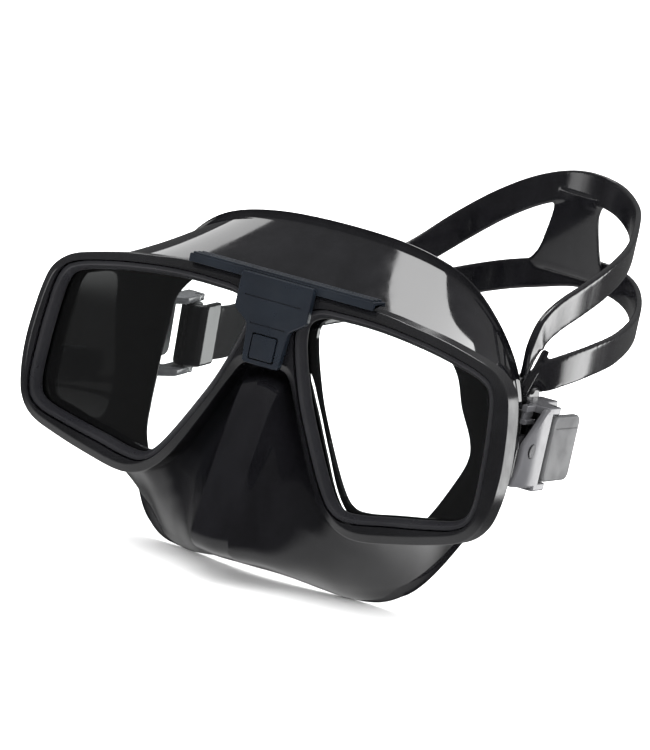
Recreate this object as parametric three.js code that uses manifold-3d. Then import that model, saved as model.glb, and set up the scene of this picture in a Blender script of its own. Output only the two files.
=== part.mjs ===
// Two-lens diving mask: frame, lenses, silicone skirt, bridge clip, strap and two quick-release buckles.
// Millimetres. +Z up, +Y towards the wearer's head, +X towards the wearer's left.
// The origin is the middle of the face seal, FACE_Y behind the frame's front plane.
import * as THREE from "three";
import { mergeVertices } from "three/addons/utils/BufferGeometryUtils.js";
import Module from "manifold-3d";

// Driving dimensions
const FACE_Y = 44; // from the frame's front plane back to the middle of the face seal
const GAP = 0.3; // clearance between neighbouring pieces

const FRAME_BACK = 8.3; // depth of the frame's side wall behind its front plane
const FRAME_LIP = 1.5; // how far the chamfered lip stands in front of the front plane
const FRAME_CHAMFER = 2.6; // width of that chamfer
const POCKET = 3.0; // pocket for the bezel, measured outwards from the clear opening
const BEZEL_FRONT = -0.7;
const BEZEL_BACK = 3.2;
const LENS_THICK = 4.0; // tempered glass
const LENS_EDGE = 2.0; // how far the glass runs under the bezel

const SKIRT_WALL = 2.0;
const SKIRT_FRONT = FRAME_BACK + GAP;

const CLIP_HALF = 31.8; // half length of the top bar of the bridge clip
const CLIP_TOP = 37;
const CLIP_SKIN = 1.3; // thickness of the bar over the frame
const CLIP_LIP = [-2.4, -1.0]; // y range of the bar's front lip
const CLIP_LIP_LOW = 34.4;
const CLIP_BACK = 6;
const CLIP_RIBS = [-2.0, 0.8, 3.6]; // y where each rib on the bar starts
const RIB_WIDTH = 1.2;
const RIB_HEIGHT = 0.7;
const RIB_INSET = 0.8; // from the bar's ends
const CLIP_FACE = -4.6; // front face of the bridge plate
const LATCH_WINDOW = [-4.4, 4.4, 10.8, 19]; // x and z ranges of the window in the plate
const LATCH_DEPTH = 2.2;
const LATCH_GAP = 0.4;
const LATCH_PROUD = 0.4; // how far the latch stands in front of the plate
const LATCH_TRAVEL = 1.0;

const STRAP_THICK = 2.2;
const BAND_WIDTH = 10.5;
const FAR_WIDTH = 18; // the strap where it comes out of the -X buckle
const RISE = 0.4; // share of each band's length by which its width stands upright
const ROOT_WIDTH = 18; // and where its two bands meet behind the +X roller
const TAIL = 8; // how far its outer end lies back past the roller's axis

const BUCKLE_HALF = 13.2; // half height of the buckle
const BUCKLE_Z = 0.2; // its mid height
const RAIL = 2.4; // thickness of its top and bottom rails
const SWIVEL_Y = 44; // the buckle tilts about X through y = SWIVEL_Y, z = 0
const ARM_IN = 68.7; // inner and outer face of the bracket's arm at the swivel
const ARM_OUT = 70.9;
const ARM_HALF = 4.5;
const COVER_IN = ARM_OUT + 0.4; // the buckle's outer cover plate
const COVER_OUT = 73.4;
const PIN_R = 2.2;
const PIN_HEAD_R = 2.9;
const PIN_HEAD = 1.2;
const PIN_GAP = 0.1; // radial clearance in the bracket
const ROLLER = [61.2, 70]; // x, y of the roller's axis
const ROLLER_R = 2.2;
const AXLE_R = 1.1;
const LEVER = [71.2, 58.4]; // x, y of the release lever's axis
const LEVER_PIN_R = 1.0;
const HUB_R = 1.9;
const TAB = [71.4, 73.8]; // inner and outer face of the lever's tab
const TAB_FRONT = 56;
const TAB_BACK = 76.4;
const TAB_CORNER = 3.6;
const SPRING_R = 1.75;
const SPRING_HALF = 3;
const SLOT_GAP = 0.4; // round the spring, in the lever
const THROUGH = 40; // length of a drill that goes right through
const BORE_GAP = 0.05; // radial clearance of a pin in its hole
const FAR_TILT = THREE.MathUtils.degToRad(6); // the -X buckle hangs tipped up a little

// Half outlines, right of the centre plane, as [x, z] from the top middle round to the bottom middle
const FRAME_HALF = [
  [0, 35.3], [31.5, 34.4], [44, 33.0], [55, 31.4], [66, 28.9], [73.5, 26.3], [78.6, 21.6], [80.8, 15],
  [82.2, 5], [82.7, -4], [82, -13], [79.8, -20.6], [74.5, -26], [64, -29.6], [52, -32.6],
  [43, -34.3], [36.8, -33.9], [31, -31], [24.6, -24], [17.4, -10.7], [11.4, 1.8], [7.2, 8.4], [0, 9.6],
];
const LENS_HALF = [
  [10.4, 21.6], [13.8, 27.4], [24, 28.4], [35, 28.2], [46, 27.1], [57, 25.3], [68.6, 22.4], [72.8, 18.6],
  [74.5, 8], [75.3, -4], [75.2, -14.6], [72.2, -19.6], [62, -22.4], [50, -24.7], [39.4, -26.8],
  [34, -26.2], [29.4, -21.4], [22.5, -9.5], [15.6, 4.6],
];
// The skirt's rings from the frame back to the face opening, as [x, y, z] half rings
const SKIRT_FRONT_RING = [
  [0, 33.4], [28, 32.4], [52, 29.6], [70.5, 25], [77.6, 17.5], [80.2, 4], [79.8, -9], [76.6, -19.6],
  [68, -26], [55, -29.4], [43, -31.8], [35.4, -31], [28.4, -24.6], [21.6, -12], [15.2, 0.6], [9.4, 10],
  [0, 13.6],
].map(([x, z]) => [x, SKIRT_FRONT, z]);
const SKIRT_RIM = [
  [0, 38, 52.6], [24, 38, 51.2], [42, 38, 46], [54, 41, 35], [61, 47, 21], [64, 51, 6], [64, 51, -8],
  [61, 48, -21], [56.5, 43, -34], [51, 40, -45], [45, 38, -52], [38, 36.4, -56.6], [29, 35, -58],
  [21, 33, -57.2], [14, 31, -55.6], [7, 29.4, -54.4], [0, 28.5, -54],
];
const SKIRT_EDGE = [
  [0, 29, 36], [20, 28.6, 34.6], [38, 28, 30], [48.5, 30, 20], [51.6, 34, 9], [54.6, 39, -1], [55, 40, -8],
  [53, 36, -17], [50, 31.5, -26], [45, 29, -34], [39, 27.6, -40], [33, 26.6, -43.6], [26, 26, -45.6],
  [19.5, 25.4, -46], [13, 25, -45.6], [6.5, 24.6, -45], [0, 24.4, -44.8],
];
// The nose pocket: where columns 11 to 16 of the rings run, front to back, before they reach the rim
const NOSE_COLUMNS = {
  11: [[34.6, 9.4, -33.6], [34.4, 12, -37.6], [34.8, 16, -42.6], [35.6, 22, -48], [36.6, 29, -53]],
  12: [[26.4, 9.0, -27.6], [25.8, 9.2, -33], [26, 11, -40], [26.8, 16, -47.4], [28, 25, -54]],
  13: [[18.0, 8.8, -13.6], [16.6, 5.4, -22], [16.6, 4, -34.6], [17.6, 8, -46.4], [19, 20, -53.6]],
  14: [[11.2, 8.6, -1.6], [9.6, 1.4, -9], [9.8, -4.6, -30], [11, -3.6, -45.6], [12.6, 12, -52.6]],
  15: [[6.6, 8.2, 5.4], [6.1, -1.6, 0.5], [6.1, -11.6, -33], [6.6, -11, -46.6], [6.8, 8, -52.4]],
  16: [[0, 8.0, 7.4], [0, -1.8, 2], [0, -12, -33], [0, -11.6, -47], [0, 7, -52.2]],
};
// Strap: middle lines of the split bands, from the buckle on the +X side round the back, as [x, y, z]
const UPPER_BAND = [
  [57.6, 61, 3], [57.3, 59.8, 15.4], [60, 56.2, 21], [64.2, 48.8, 26.2], [65.8, 46.4, 31], [65.4, 50.8, 36],
  [64.6, 63, 40.5], [63.4, 82, 45], [61.2, 104, 50],
  [56, 130, 55.5], [46, 158, 60.5], [33, 187, 64], [17, 208, 67.5], [0, 218, 68], [-15, 221.5, 63.5],
  [-29, 222, 55], [-41, 219.5, 44.5], [-50, 212, 34], [-56.5, 199, 25.5], [-60, 183, 20], [-61.5, 165, 17],
];
const LOWER_BAND = [
  [57.6, 66, 2], [57.4, 66, 14], [60.6, 68, 19.2], [62.6, 76, 21.4], [62.6, 100, 24.5], [58.6, 132, 27.5],
  [48, 171, 31.5],
  [32, 205, 36], [15, 225, 38], [0, 230.5, 37.5], [-14, 232, 34], [-27, 231, 30], [-39, 226, 25],
  [-48.5, 217, 20], [-55.5, 203, 15], [-60, 185, 11], [-61.5, 165, 9],
];
// The web between the bands at the back: its top and bottom edge as [x, y of one end, x, y of the other, z]
const WEB_TOP = [-8, 220, 8, 213.6, 65];
const WEB_BOTTOM = [-17, 232, 11, 226.6, 36];
const WEB_LEVELS = 6;
const FAR_STRAP = [
  [-57.8, 70, 2.9], [-58, 80, 3.6], [-60.4, 98, 4], [-62.8, 122, 8], [-62.6, 148, 11.6], [-61, 178, 15],
];
const STRAP_ROOT = [[57.6, 68, -10.5], [57.6, 68, 6], [57.4, 68, 14.6], [58.7, 66.4, 19], [60.6, 63.6, 21.6]];
// Bridge plate, as [x, z]
const CLIP_PLATE = [
  [-12.4, 36.4], [12.4, 36.4], [12.4, 25], [7.2, 21.4], [6.2, 9.4], [-6.2, 9.4], [-7.2, 21.4], [-12.4, 25],
];
// Buckle on the +X side: bracket arm in plan, cover plate from the side, rails in plan, guard bars over
// the skirt
const ARM_PLAN = [
  [82.2, SKIRT_FRONT], [82.2, 10.6], [ARM_OUT, 37.6], [ARM_OUT, 49],
  [ARM_IN, 49], [ARM_IN, 40.2], [80.9, 10.2], [80.9, SKIRT_FRONT],
];
const COVER_SIDE = [[36, -11.3], [38.6, -4.6], [38.6, 1.8], [50, 13.1], [54.6, 13.1], [54.6, -12]];
const RAIL_PLAN = [
  [COVER_OUT, 50.4], [COVER_OUT, 60.2], [69.4, 61.6], [66.6, 64], [66.6, 73.4],
  [60.1, 73.4], [60.1, 61.4], [62.6, 57], [65.8, 53.5], [65.8, 50.4],
];
const GUARDS = [
  [66.9, 68.8, 43.8, 58, 11.1, 13.3],
  [66.9, 68.8, 44.2, 52, 7.2, 8.8],
  [67, 67.8, 44.4, 51.8, 8, 12.4],
];

const wasm = await Module();
wasm.setup();

const finish = (color, roughness, metalness = 0) =>
  new THREE.MeshStandardMaterial({ color, roughness, metalness });
const BLACK_PLASTIC = finish(0x0d0d10, 0.3);
const SATIN_PLASTIC = finish(0x18191c, 0.45);
const GREY_PLASTIC = finish(0x3a3b3e, 0.5);
const SILICONE = finish(0x08080a, 0.35);
const STEEL = finish(0xb4b6b8, 0.35, 1);
const GLASS = new THREE.MeshStandardMaterial({
  color: 0xffffff, roughness: 0.05, transparent: true, opacity: 0.3,
});

const mask = new THREE.Group();
mask.position.y = -FACE_Y; // the pieces below are placed from the frame's front plane

function add(name, geometry, material, parent = mask) {
  const mesh = new THREE.Mesh(geometry, material);
  mesh.name = name;
  parent.add(mesh);
  return mesh;
}

// Booleans
function toSolid(geometry) {
  const bare = (geometry.index ? geometry.toNonIndexed() : geometry.clone());
  bare.deleteAttribute("normal");
  bare.deleteAttribute("uv");
  const merged = mergeVertices(bare, 1e-3);
  return new wasm.Manifold(new wasm.Mesh({
    numProp: 3,
    vertProperties: merged.attributes.position.array,
    triVerts: new Uint32Array(merged.index.array),
  }));
}
function toGeometry(solid) {
  const mesh = solid.getMesh();
  const geometry = new THREE.BufferGeometry();
  geometry.setAttribute("position", new THREE.BufferAttribute(new Float32Array(mesh.vertProperties), 3));
  geometry.setIndex(new THREE.BufferAttribute(new Uint32Array(mesh.triVerts), 1));
  return geometry;
}
const join = (...parts) => toGeometry(parts.map(toSolid).reduce((a, b) => a.add(b)));
const cut = (body, ...tools) => toGeometry(tools.map(toSolid).reduce((a, b) => a.subtract(b), toSolid(body)));

// Shapes
function box(x0, x1, y0, y1, z0, z1) {
  return new THREE.BoxGeometry(x1 - x0, y1 - y0, z1 - z0)
    .translate((x0 + x1) / 2, (y0 + y1) / 2, (z0 + z1) / 2);
}
function rod(radius, length, axis, at, sides = 24) {
  const geometry = new THREE.CylinderGeometry(radius, radius, length, sides);
  if (axis === "x") geometry.rotateZ(Math.PI / 2);
  if (axis === "z") geometry.rotateX(Math.PI / 2);
  return geometry.translate(...at);
}
function tube(outer, inner, length, axis, at, sides = 24) {
  return cut(rod(outer, length, axis, at, sides), rod(inner, length + 2, axis, at, sides));
}
// A closed ring of points through an outline, evenly spaced by its corners
function smooth(points, perSpan, tension = 0.5) {
  const curve = new THREE.CatmullRomCurve3(
    points.map((p) => new THREE.Vector3(...p)), true, "catmullrom", tension);
  const count = points.length * perSpan;
  return Array.from({ length: count }, (_, i) => curve.getPoint(i / count));
}
const mirrored = (half) => [...half, ...half.slice(1, -1).reverse().map(([x, ...rest]) => [-x, ...rest])];
const flatRing = (half, perSpan) => smooth(mirrored(half).map(([x, z]) => [x, 0, z]), perSpan);
const lensRing = (perSpan) => smooth(LENS_HALF.map(([x, z]) => [x, 0, z]), perSpan);

// Moves a flat ring outwards by d (inwards when d is negative)
function offset(ring, d) {
  const n = ring.length;
  const area = ring.reduce((sum, p, i) => {
    const q = ring[(i + 1) % n];
    return sum + p.x * q.z - q.x * p.z;
  }, 0);
  const turn = Math.sign(area);
  return ring.map((p, i) => {
    const along = ring[(i + 1) % n].clone().sub(ring[(i + n - 1) % n]).normalize();
    return new THREE.Vector3(p.x + along.z * d * turn, p.y, p.z - along.x * d * turn);
  });
}
const atY = (ring, y) => ring.map((p) => new THREE.Vector3(p.x, y, p.z));
const mirrorX = (ring) => ring.map((p) => new THREE.Vector3(-p.x, p.y, p.z)).reverse();

// A solid through rings of equal length. closed joins the last ring to the first; otherwise flat caps end it.
function loft(rings, closed = false) {
  const n = rings[0].length;
  const positions = rings.flatMap((ring) => ring.flatMap((p) => [p.x, p.y, p.z]));
  const index = [];
  const last = closed ? rings.length : rings.length - 1;
  for (let i = 0; i < last; i++) {
    const next = (i + 1) % rings.length;
    for (let j = 0; j < n; j++) {
      const k = (j + 1) % n;
      index.push(i * n + j, i * n + k, next * n + k, i * n + j, next * n + k, next * n + j);
    }
  }
  if (!closed) {
    const outline = rings[0].map((p) => new THREE.Vector2(p.x, p.z));
    for (const [a, b, c] of THREE.ShapeUtils.triangulateShape(outline, [])) {
      const lift = (rings.length - 1) * n;
      index.push(a, b, c, lift + a, lift + c, lift + b);
    }
  }
  const geometry = new THREE.BufferGeometry();
  geometry.setAttribute("position", new THREE.Float32BufferAttribute(positions, 3));
  geometry.setIndex(index);
  return facingOut(geometry);
}
function facingOut(geometry) {
  const p = geometry.attributes.position;
  const corner = [0, 1, 2].map(() => new THREE.Vector3());
  let volume = 0;
  for (let i = 0; i < geometry.index.count; i += 3) {
    corner.forEach((v, k) => v.fromBufferAttribute(p, geometry.index.getX(i + k)));
    volume += corner[0].dot(corner[1].clone().cross(corner[2]));
  }
  if (volume < 0) {
    const flipped = Array.from(geometry.index.array);
    for (let i = 0; i < flipped.length; i += 3) {
      [flipped[i + 1], flipped[i + 2]] = [flipped[i + 2], flipped[i + 1]];
    }
    geometry.setIndex(flipped);
  }
  return geometry;
}
const slab = (ring, y0, y1) => loft([atY(ring, y0), atY(ring, y1)]);

// A flat band swept along points. At its start it lies square to X, so that it can rise beside the head.
// Past the share turned of its length its width stands upright.
function band(points, width, thick, steps, turned = 0.01) {
  const curve = new THREE.CatmullRomCurve3(points.map((p) => new THREE.Vector3(...p)), false, "centripetal");
  const rings = [];
  for (let i = 0; i <= steps; i++) {
    const t = i / steps;
    const at = curve.getPoint(t);
    const along = curve.getTangent(t);
    const upright = new THREE.Vector3(0, 0, 1).addScaledVector(along, -along.z).normalize();
    const square = new THREE.Vector3(1, 0, 0).cross(along).normalize();
    const across = upright.lerp(square, THREE.MathUtils.clamp(2 - 2 * t / turned, 0, 1)).normalize();
    const out = along.clone().cross(across).normalize();
    rings.push([[-1, -1], [1, -1], [1, 1], [-1, 1]].map(([w, h]) => at.clone()
      .addScaledVector(across, w * width / 2)
      .addScaledVector(out, h * thick / 2)));
  }
  return capEnds(rings);
}
function capEnds(rings) {
  const n = 4;
  const index = [];
  for (let i = 0; i < rings.length - 1; i++) {
    for (let j = 0; j < n; j++) {
      const k = (j + 1) % n;
      index.push(i * n + j, i * n + k, (i + 1) * n + k, i * n + j, (i + 1) * n + k, (i + 1) * n + j);
    }
  }
  const end = (rings.length - 1) * n;
  index.push(2, 1, 0, 3, 2, 0, end, end + 1, end + 2, end, end + 2, end + 3);
  const geometry = new THREE.BufferGeometry();
  geometry.setAttribute("position", new THREE.Float32BufferAttribute(
    rings.flatMap((ring) => ring.flatMap((p) => [p.x, p.y, p.z])), 3));
  geometry.setIndex(index);
  return facingOut(geometry);
}

// Frame: one moulding round both lenses, with a chamfered front lip and a pocket for each bezel
function makeFrame() {
  const outer = flatRing(FRAME_HALF, 3);
  const body = loft([atY(outer, FRAME_BACK), atY(outer, 0), atY(offset(outer, -FRAME_CHAMFER), -FRAME_LIP)]);
  const pocket = slab(offset(lensRing(3), POCKET), -FRAME_LIP - 2, FRAME_BACK + 2);
  const other = slab(mirrorX(offset(lensRing(3), POCKET)), -FRAME_LIP - 2, FRAME_BACK + 2);
  add("main_frame", cut(body, pocket, other), BLACK_PLASTIC);
}

function makeLensSet(side, mirror) {
  const ring = (d) => (mirror ? mirrorX(offset(lensRing(3), d)) : offset(lensRing(3), d));
  add("lens_" + side, slab(ring(LENS_EDGE), BEZEL_BACK + GAP, BEZEL_BACK + GAP + LENS_THICK), GLASS);
  const outer = ring(POCKET - GAP);
  const bezel = loft([
    atY(outer, BEZEL_BACK), atY(outer, BEZEL_FRONT), atY(ring(1.3), BEZEL_FRONT),
    atY(ring(0), 1.6), atY(ring(0), BEZEL_BACK),
  ], true);
  add("bezel_" + side, bezel, SATIN_PLASTIC);
}

// Skirt: a shell of rings from the frame to the face opening, and the wall with the two lens windows
function makeSkirt() {
  const columns = SKIRT_RIM.map((rim, c) => {
    const front = SKIRT_FRONT_RING[c];
    if (NOSE_COLUMNS[c]) return [front, ...NOSE_COLUMNS[c], rim, SKIRT_EDGE[c]];
    const between = [0.08, 0.26, 0.5, 0.74, 0.9].map((t) => front.map((v, k) => v + (rim[k] - v) * t));
    return [front, ...between, rim, SKIRT_EDGE[c]];
  });
  const stations = columns[0].length;
  const rings = [];
  for (let s = 0; s < stations; s++) {
    rings.push(smooth(mirrored(columns.map((column) => column[s])), 2));
  }
  const rows = (stations - 1) * 2;
  const across = rings[0].map((_, j) =>
    new THREE.CatmullRomCurve3(rings.map((r) => r[j]), false, "centripetal"));
  const outer = Array.from({ length: rows + 1 }, (_, i) => across.map((curve) => curve.getPoint(i / rows)));
  const n = outer[0].length;
  const inner = outer.map((ring, i) => ring.map((p, j) => {
    const along = outer[Math.min(i + 1, rows)][j].clone().sub(outer[Math.max(i - 1, 0)][j]);
    const around = ring[(j + 1) % n].clone().sub(ring[(j + n - 1) % n]);
    const wall = i > rows - 3 ? SKIRT_WALL * 0.6 : SKIRT_WALL;
    const inside = p.clone().addScaledVector(around.cross(along).normalize(), -wall);
    if (i === 0) inside.y = SKIRT_FRONT;
    return inside;
  }));
  const shell = loft([...outer, ...inner.reverse()], true);
  const face = offset(rings[0], -SKIRT_WALL / 2);
  const wallFront = SKIRT_FRONT + SKIRT_WALL / 4;
  const wall = cut(
    slab(face, wallFront, wallFront + SKIRT_WALL),
    slab(lensRing(2), SKIRT_FRONT - 2, SKIRT_FRONT + 6),
    slab(mirrorX(lensRing(2)), SKIRT_FRONT - 2, SKIRT_FRONT + 6));
  add("skirt", join(shell, wall), SILICONE);
}

// Bridge clip: ribbed bar along the top of the frame, and the plate between the lenses that holds the latch
function makeBridge() {
  const plateBack = -FRAME_LIP - GAP;
  const plateFace = new THREE.Shape(CLIP_PLATE.map((p) => new THREE.Vector2(...p)));
  const plate = new THREE.ExtrudeGeometry(plateFace, { depth: plateBack - CLIP_FACE, bevelEnabled: false })
    .rotateX(Math.PI / 2)
    .translate(0, plateBack, 0);
  const lip = box(-CLIP_HALF, CLIP_HALF, ...CLIP_LIP, CLIP_LIP_LOW, CLIP_TOP);
  const bar = box(-CLIP_HALF, CLIP_HALF, CLIP_LIP[0], CLIP_BACK, CLIP_TOP - CLIP_SKIN, CLIP_TOP);
  const ribHalf = CLIP_HALF - RIB_INSET;
  const ribs = CLIP_RIBS.map((y) =>
    box(-ribHalf, ribHalf, y, y + RIB_WIDTH, CLIP_TOP - 0.2, CLIP_TOP + RIB_HEIGHT));
  const [x0, x1, z0, z1] = LATCH_WINDOW;
  const window = box(x0, x1, CLIP_FACE - 1, CLIP_FACE + LATCH_DEPTH, z0, z1);
  add("bridge_clip", cut(join(plate, lip, bar, ...ribs), window), SATIN_PLASTIC);
  add("bridge_latch", box(x0 + LATCH_GAP, x1 - LATCH_GAP, CLIP_FACE - LATCH_PROUD,
    CLIP_FACE + LATCH_DEPTH - GAP - LATCH_TRAVEL, z0 + LATCH_GAP, z1 - LATCH_GAP), BLACK_PLASTIC);
}

// A plan outline [x, y] raised from z0 to z1, and a side outline [y, z] pushed from x0 to x1
function raised(plan, z0, z1) {
  const shape = new THREE.Shape(plan.map(([x, y]) => new THREE.Vector2(x, y)));
  const options = { depth: z1 - z0, bevelEnabled: false };
  const geometry = new THREE.ExtrudeGeometry(shape, options).translate(0, 0, z0);
  return facingOut(mergeVertices(stripped(geometry), 1e-3));
}
function pushed(shape, x0, x1) {
  const geometry = new THREE.ExtrudeGeometry(shape, { depth: x1 - x0, bevelEnabled: false, curveSegments: 5 })
    .applyMatrix4(new THREE.Matrix4().set(0, 0, 1, x0, 1, 0, 0, 0, 0, 1, 0, 0, 0, 0, 0, 1));
  return facingOut(mergeVertices(stripped(geometry), 1e-3));
}

// One buckle on the +X side: bracket on the frame, swivel pin, body, roller on its axle, sprung release lever
function makeBuckle(side, mirror) {
  const fixed = new THREE.Group();
  fixed.scale.x = mirror ? -1 : 1;
  mask.add(fixed);
  const tilted = new THREE.Group();
  tilted.position.y = SWIVEL_Y;
  tilted.rotation.x = mirror ? FAR_TILT : 0;
  fixed.add(tilted);
  const group = new THREE.Group();
  group.position.y = -SWIVEL_Y;
  tilted.add(group);

  const swivelBore = (radius) => rod(radius, THROUGH, "x", [ARM_OUT, SWIVEL_Y, 0]);
  add("strap_bracket_" + side, cut(raised(ARM_PLAN, -ARM_HALF, ARM_HALF), swivelBore(PIN_R + PIN_GAP)),
    BLACK_PLASTIC, fixed);
  const pinEnd = COVER_OUT + GAP;
  add("swivel_pin_" + side, join(
    rod(PIN_R, pinEnd - ARM_IN + 0.2, "x", [(ARM_IN + pinEnd) / 2, SWIVEL_Y, 0]),
    rod(PIN_HEAD_R, PIN_HEAD, "x", [pinEnd + PIN_HEAD / 2, SWIVEL_Y, 0])), STEEL, fixed);

  const low = BUCKLE_Z - BUCKLE_HALF;
  const high = BUCKLE_Z + BUCKLE_HALF;
  const cover = pushed(new THREE.Shape(COVER_SIDE.map((p) => new THREE.Vector2(...p))), COVER_IN, COVER_OUT);
  const rails = [raised(RAIL_PLAN, low, low + RAIL), raised(RAIL_PLAN, high - RAIL, high)];
  const guards = GUARDS.map((range) => box(...range));
  const axleBore = rod(AXLE_R + BORE_GAP, THROUGH, "z", [...ROLLER, BUCKLE_Z]);
  const leverBore = rod(LEVER_PIN_R + BORE_GAP, THROUGH, "z", [...LEVER, BUCKLE_Z]);
  add("buckle_body_" + side,
    cut(join(cover, ...rails, ...guards), swivelBore(PIN_R + GAP), axleBore, leverBore),
    SATIN_PLASTIC, group);

  const pinLength = 2 * BUCKLE_HALF - 2 * GAP;
  const inside = BUCKLE_HALF - RAIL - GAP; // half of the room between the rails
  add("roller_axle_" + side, rod(AXLE_R, pinLength, "z", [...ROLLER, BUCKLE_Z]), STEEL, group);
  add("strap_roller_" + side,
    tube(ROLLER_R, AXLE_R + BORE_GAP, 2 * inside, "z", [...ROLLER, BUCKLE_Z]), GREY_PLASTIC, group);
  add("lever_pin_" + side, rod(LEVER_PIN_R, pinLength, "z", [...LEVER, BUCKLE_Z]), STEEL, group);
  const [leverX, leverY] = LEVER;
  const hub = rod(HUB_R, 2 * inside, "z", [...LEVER, BUCKLE_Z]);
  const tab = pushed(
    roundedRect(TAB_FRONT, TAB_BACK, BUCKLE_Z - inside, BUCKLE_Z + inside, TAB_CORNER), ...TAB);
  const slotHalf = SPRING_R + SLOT_GAP;
  const springSlot = box(leverX - 2 * HUB_R, leverX + HUB_R, leverY - slotHalf, leverY + slotHalf,
    BUCKLE_Z - SPRING_HALF - SLOT_GAP, BUCKLE_Z + SPRING_HALF + SLOT_GAP);
  add("release_lever_" + side, cut(join(hub, tab), springSlot, leverBore), GREY_PLASTIC, group);
  add("lever_spring_" + side,
    tube(SPRING_R, LEVER_PIN_R + 0.25, 2 * SPRING_HALF, "z", [...LEVER, BUCKLE_Z], 16), STEEL, group);
}
function stripped(geometry) {
  const bare = geometry.index ? geometry.toNonIndexed() : geometry.clone();
  bare.deleteAttribute("normal");
  bare.deleteAttribute("uv");
  return bare;
}
function roundedRect(x0, x1, y0, y1, r) {
  const shape = new THREE.Shape();
  shape.moveTo(x0, y0);
  shape.lineTo(x1 - r, y0);
  shape.absarc(x1 - r, y0 + r, r, -Math.PI / 2, 0, false);
  shape.lineTo(x1, y1 - r);
  shape.absarc(x1 - r, y1 - r, r, 0, Math.PI / 2, false);
  shape.lineTo(x0, y1);
  shape.closePath();
  return shape;
}

// Strap: a band through each buckle and round its roller, split into two bands with a web at the back
function rollerLoop(sign) {
  const [rollerX, rollerY] = ROLLER;
  const near = ROLLER_R + GAP;
  const far = near + STRAP_THICK;
  const ring = (r, from, to) => Array.from({ length: 9 }, (_, i) => {
    const a = from + ((to - from) * i) / 8;
    return [rollerX + r * Math.cos(a), rollerY - r * Math.sin(a)];
  });
  const tail = rollerY + TAIL;
  const section = [
    [rollerX + far, rollerY], [rollerX + far, tail], [rollerX + near, tail], ...ring(near, 0, Math.PI),
    [rollerX - near, tail + 1], [rollerX - far, tail + 1], ...ring(far, Math.PI, 0).slice(0, -1),
  ];
  const half = BUCKLE_HALF - RAIL - GAP - 0.2;
  const loop = raised(section, BUCKLE_Z - half, BUCKLE_Z + half);
  if (sign > 0) return loop;
  loop.scale(-1, 1, 1).translate(0, -SWIVEL_Y, 0).rotateX(FAR_TILT).translate(0, SWIVEL_Y, 0);
  return facingOut(loop);
}
function makeStrap() {
  const half = STRAP_THICK / 2;
  const levels = Array.from({ length: WEB_LEVELS }, (_, i) => {
    const t = i / (WEB_LEVELS - 1);
    const [x0, y0, x1, y1, z] = WEB_TOP.map((v, k) => v + (WEB_BOTTOM[k] - v) * t);
    return [[x0, y0 - half], [x1, y1 - half], [x1, y1 + half], [x0, y0 + half]]
      .map(([x, y]) => new THREE.Vector3(x, y, z));
  });
  add("strap", join(
    band(UPPER_BAND, BAND_WIDTH, STRAP_THICK, 64, RISE),
    band(LOWER_BAND, BAND_WIDTH, STRAP_THICK, 54, RISE),
    band(FAR_STRAP, FAR_WIDTH, STRAP_THICK, 16),
    band(STRAP_ROOT, ROOT_WIDTH, STRAP_THICK, 10, 9),
    capEnds(levels), rollerLoop(1), rollerLoop(-1)), SILICONE);
}

makeFrame();
makeLensSet("left", false);
makeLensSet("right", true);
makeSkirt();
makeBridge();
makeBuckle("left", false);
makeBuckle("right", true);
makeStrap();

export default mask;
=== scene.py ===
"""Diving mask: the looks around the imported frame. Pieces are drawn in millimetres from the frame's front
plane, as the CAD is, and placed() turns them into metres about the middle of the face seal."""

import math

import bmesh
import bpy
from mathutils import Matrix, Vector


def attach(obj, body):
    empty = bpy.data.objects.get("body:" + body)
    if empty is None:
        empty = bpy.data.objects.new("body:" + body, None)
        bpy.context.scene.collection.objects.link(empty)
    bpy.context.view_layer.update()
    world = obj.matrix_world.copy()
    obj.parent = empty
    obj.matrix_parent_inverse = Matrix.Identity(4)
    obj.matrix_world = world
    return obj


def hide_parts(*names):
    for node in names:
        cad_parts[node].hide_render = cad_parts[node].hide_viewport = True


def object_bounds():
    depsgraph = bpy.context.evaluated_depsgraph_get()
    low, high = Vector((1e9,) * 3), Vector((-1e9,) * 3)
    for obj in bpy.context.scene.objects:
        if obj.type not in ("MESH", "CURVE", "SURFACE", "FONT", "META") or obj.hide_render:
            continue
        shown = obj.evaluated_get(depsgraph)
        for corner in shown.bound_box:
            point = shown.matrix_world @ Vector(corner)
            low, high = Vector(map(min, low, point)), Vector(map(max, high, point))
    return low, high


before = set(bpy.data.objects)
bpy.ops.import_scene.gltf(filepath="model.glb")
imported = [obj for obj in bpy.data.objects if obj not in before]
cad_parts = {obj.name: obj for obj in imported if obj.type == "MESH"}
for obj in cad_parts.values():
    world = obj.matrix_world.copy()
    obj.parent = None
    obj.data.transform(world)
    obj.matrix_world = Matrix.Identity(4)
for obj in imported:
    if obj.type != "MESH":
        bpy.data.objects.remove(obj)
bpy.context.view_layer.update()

# Camera: where it stands about the point it looks at, its roll, and its lens on a 36 mm sensor
CAMERA_AIM = Vector((0.0160, -0.0352, 0.0104))
CAMERA_AZIMUTH = math.radians(24.571)
CAMERA_ELEVATION = math.radians(7.408)
CAMERA_ROLL = math.radians(12.457)
CAMERA_DISTANCE = 1.4092
CAMERA_LENS = 223.2


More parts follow.
